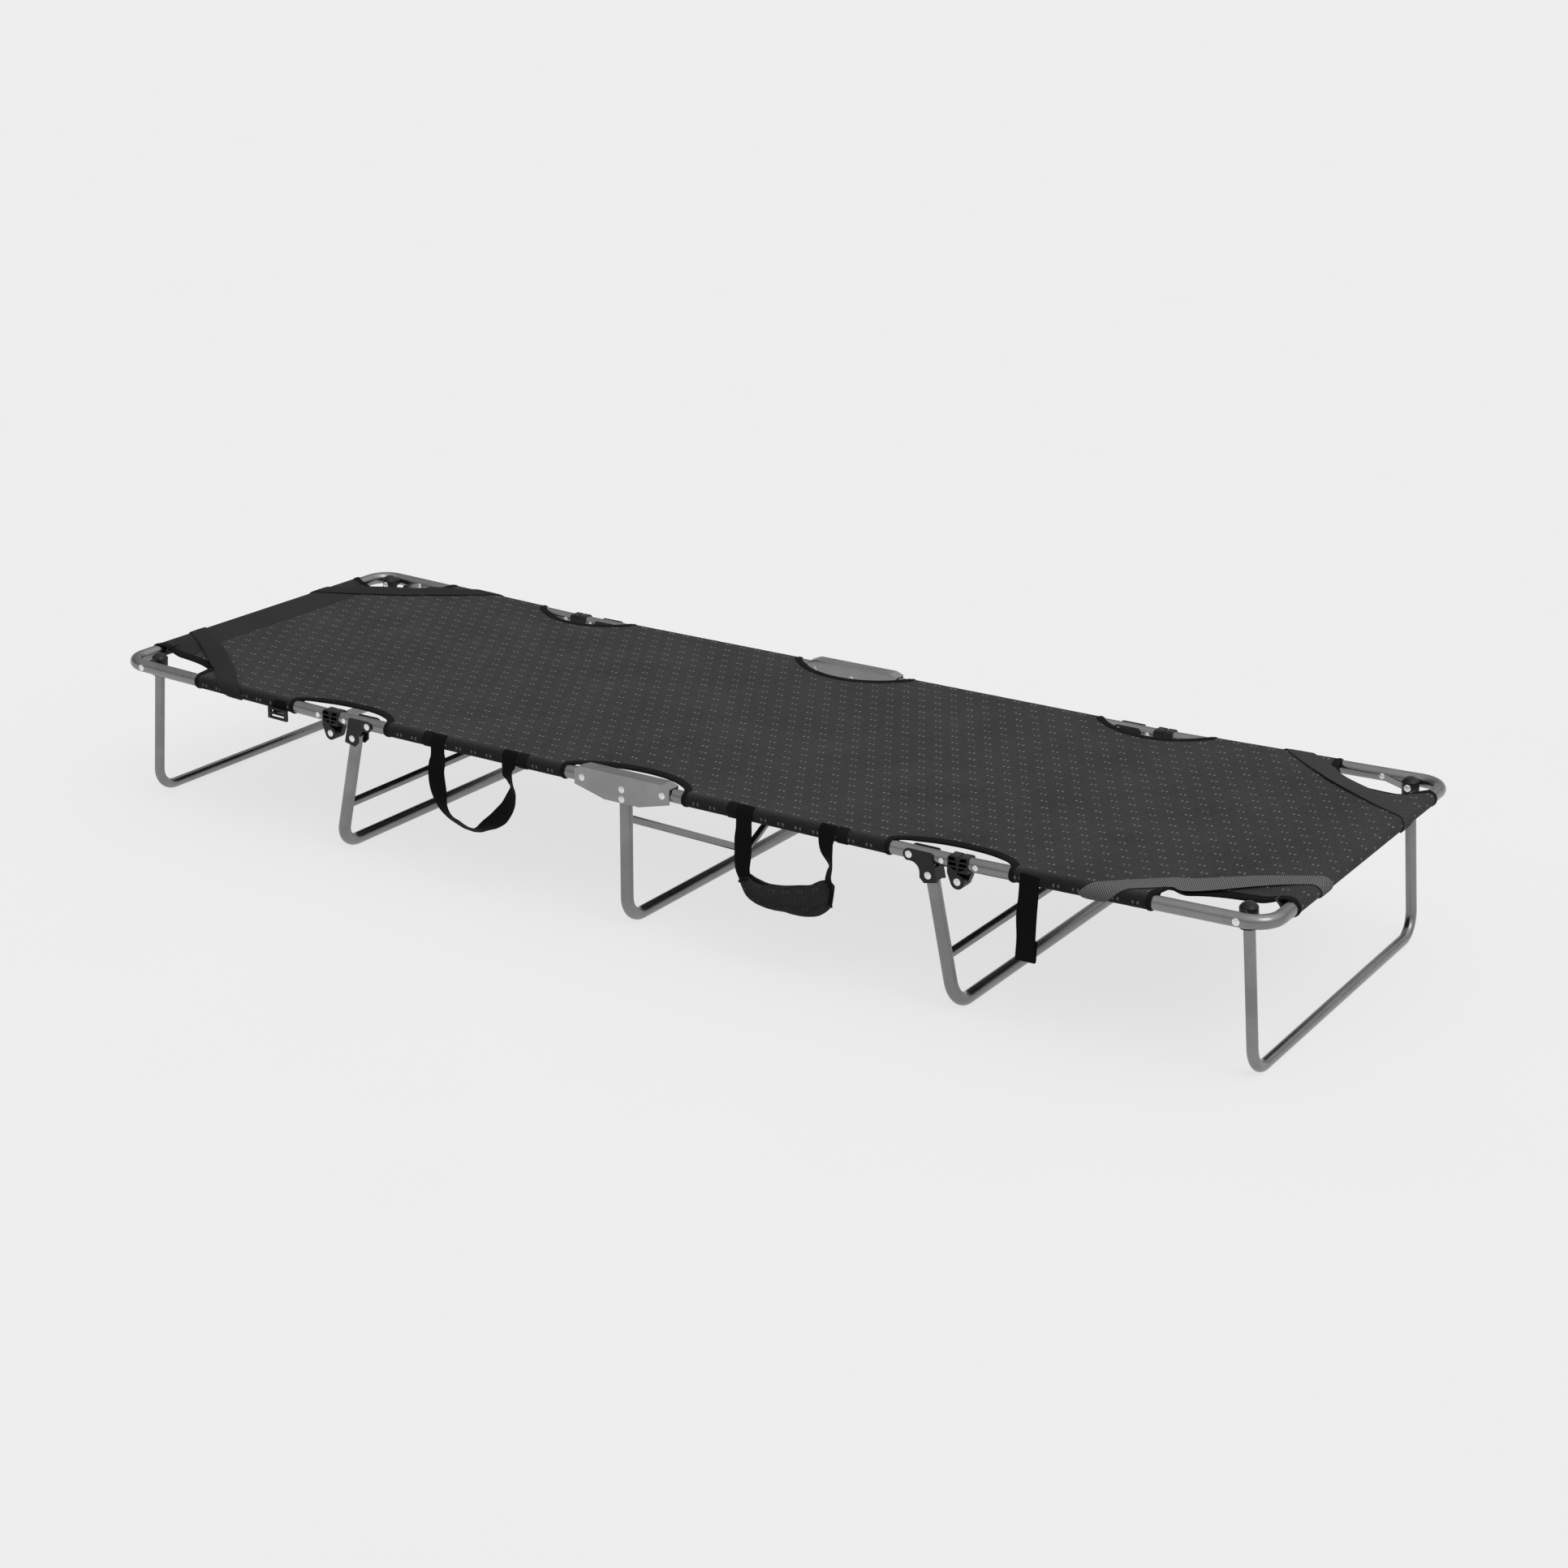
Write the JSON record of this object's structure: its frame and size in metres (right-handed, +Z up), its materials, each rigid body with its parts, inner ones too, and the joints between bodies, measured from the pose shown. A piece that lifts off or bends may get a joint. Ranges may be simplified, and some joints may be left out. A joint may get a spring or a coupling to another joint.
{
  "type": "folding cot",
  "caption": "Low folding cot with a fabric bed on a hinged tube frame, U-shaped legs that fold flat, corner straps, carrying handles and a closing strap.",
  "frame": {"origin": "on the floor, under the middle of the bed", "axes": "+X from the middle to the foot end, +Y across the bed away from the handles, +Z up"},
  "size_m": [1.9036, 0.637, 0.2376],
  "materials": {
    "tube_steel": "satin grey powder coat",
    "bracket_steel": "satin grey powder coat",
    "rivet_steel": "zinc plated",
    "black_plastic": "moulded nylon",
    "bed_fabric": "heathered woven polyester",
    "grip_fabric": "padded woven polyester",
    "webbing": "ribbed polyester webbing"
  },
  "bodies": {
    "centre": {"centre_leg": "tube_steel", "centre_leg_brace": "tube_steel", "centre_bracket_near": "bracket_steel", "centre_bracket_far": "bracket_steel", "centre_rivets": "rivet_steel", "centre_fabric": "bed_fabric"},
    "head_mid": {"head_mid_rail_near": "tube_steel", "head_mid_rail_far": "tube_steel", "head_hinge_inner_near": "black_plastic", "head_hinge_inner_far": "black_plastic", "head_leg_bracket_near": "black_plastic", "head_leg_bracket_far": "black_plastic", "head_mid_rivets": "rivet_steel", "head_slant_leg_pins": "rivet_steel", "head_mid_fabric": "bed_fabric", "head_handle": "webbing"},
    "head_slant_leg": {"head_slant_leg": "tube_steel", "head_slant_leg_crossbar": "tube_steel"},
    "head_end": {"head_end_frame": "tube_steel", "head_hinge_outer_near": "black_plastic", "head_hinge_outer_far": "black_plastic", "head_hinge_pins": "rivet_steel", "head_end_rivets": "rivet_steel", "head_leg_catches": "rivet_steel", "head_end_fabric": "bed_fabric", "head_corner_strap_near": "webbing", "head_corner_strap_far": "webbing", "buckle_tab": "webbing", "ladder_buckle": "black_plastic"},
    "head_end_leg": {"head_end_leg": "tube_steel", "head_end_leg_caps": "black_plastic"},
    "foot_mid": {"foot_mid_rail_near": "tube_steel", "foot_mid_rail_far": "tube_steel", "foot_hinge_inner_near": "black_plastic", "foot_hinge_inner_far": "black_plastic", "foot_leg_bracket_near": "black_plastic", "foot_leg_bracket_far": "black_plastic", "foot_mid_rivets": "rivet_steel", "foot_slant_leg_pins": "rivet_steel", "foot_mid_fabric": "bed_fabric", "foot_handle": "webbing", "foot_handle_grip": "grip_fabric"},
    "foot_slant_leg": {"foot_slant_leg": "tube_steel", "foot_slant_leg_crossbar": "tube_steel"},
    "foot_end": {"foot_end_frame": "tube_steel", "foot_hinge_outer_near": "black_plastic", "foot_hinge_outer_far": "black_plastic", "foot_hinge_pins": "rivet_steel", "foot_end_rivets": "rivet_steel", "foot_leg_catches": "rivet_steel", "foot_end_fabric": "bed_fabric", "foot_corner_strap_near": "webbing", "foot_corner_strap_far": "webbing", "closing_strap": "webbing"},
    "foot_end_leg": {"foot_end_leg": "tube_steel", "foot_end_leg_caps": "black_plastic"}
  },
  "joints": [
    {"name": "head_mid_fold", "type": "hinge", "parent": "centre", "child": "head_mid", "pos_m": [-0.067, 0, 0.208], "axis": [0, -1, 0], "range_deg": [0, 72]},
    {"name": "head_end_fold", "type": "hinge", "parent": "head_mid", "child": "head_end", "pos_m": [-0.522, 0, 0.185], "axis": [0, -1, 0], "range_deg": [0, 180]},
    {"name": "head_slant_leg_fold", "type": "hinge", "parent": "head_mid", "child": "head_slant_leg", "pos_m": [-0.48, 0, 0.185], "axis": [0, -1, 0], "range_deg": [0, 102.5]},
    {"name": "head_end_leg_fold", "type": "hinge", "parent": "head_end", "child": "head_end_leg", "pos_m": [-0.90027, 0, 0.21791], "axis": [0, -1, 0], "range_deg": [0, 94]},
    {"name": "foot_mid_fold", "type": "hinge", "parent": "centre", "child": "foot_mid", "pos_m": [0.067, 0, 0.208], "axis": [0, 1, 0], "range_deg": [0, 72]},
    {"name": "foot_end_fold", "type": "hinge", "parent": "foot_mid", "child": "foot_end", "pos_m": [0.522, 0, 0.185], "axis": [0, 1, 0], "range_deg": [0, 180]},
    {"name": "foot_slant_leg_fold", "type": "hinge", "parent": "foot_mid", "child": "foot_slant_leg", "pos_m": [0.48, 0, 0.185], "axis": [0, 1, 0], "range_deg": [0, 102.5]},
    {"name": "foot_end_leg_fold", "type": "hinge", "parent": "foot_end", "child": "foot_end_leg", "pos_m": [0.90027, 0, 0.21791], "axis": [0, 1, 0], "range_deg": [0, 94]}
  ],
  "couplings": [
    {"joint": "head_slant_leg_fold", "follows": "head_end_fold", "ratio": 0.569},
    {"joint": "head_end_leg_fold", "follows": "head_end_fold", "ratio": 0.522},
    {"joint": "foot_slant_leg_fold", "follows": "foot_end_fold", "ratio": 0.569},
    {"joint": "foot_end_leg_fold", "follows": "foot_end_fold", "ratio": 0.522}
  ]
}
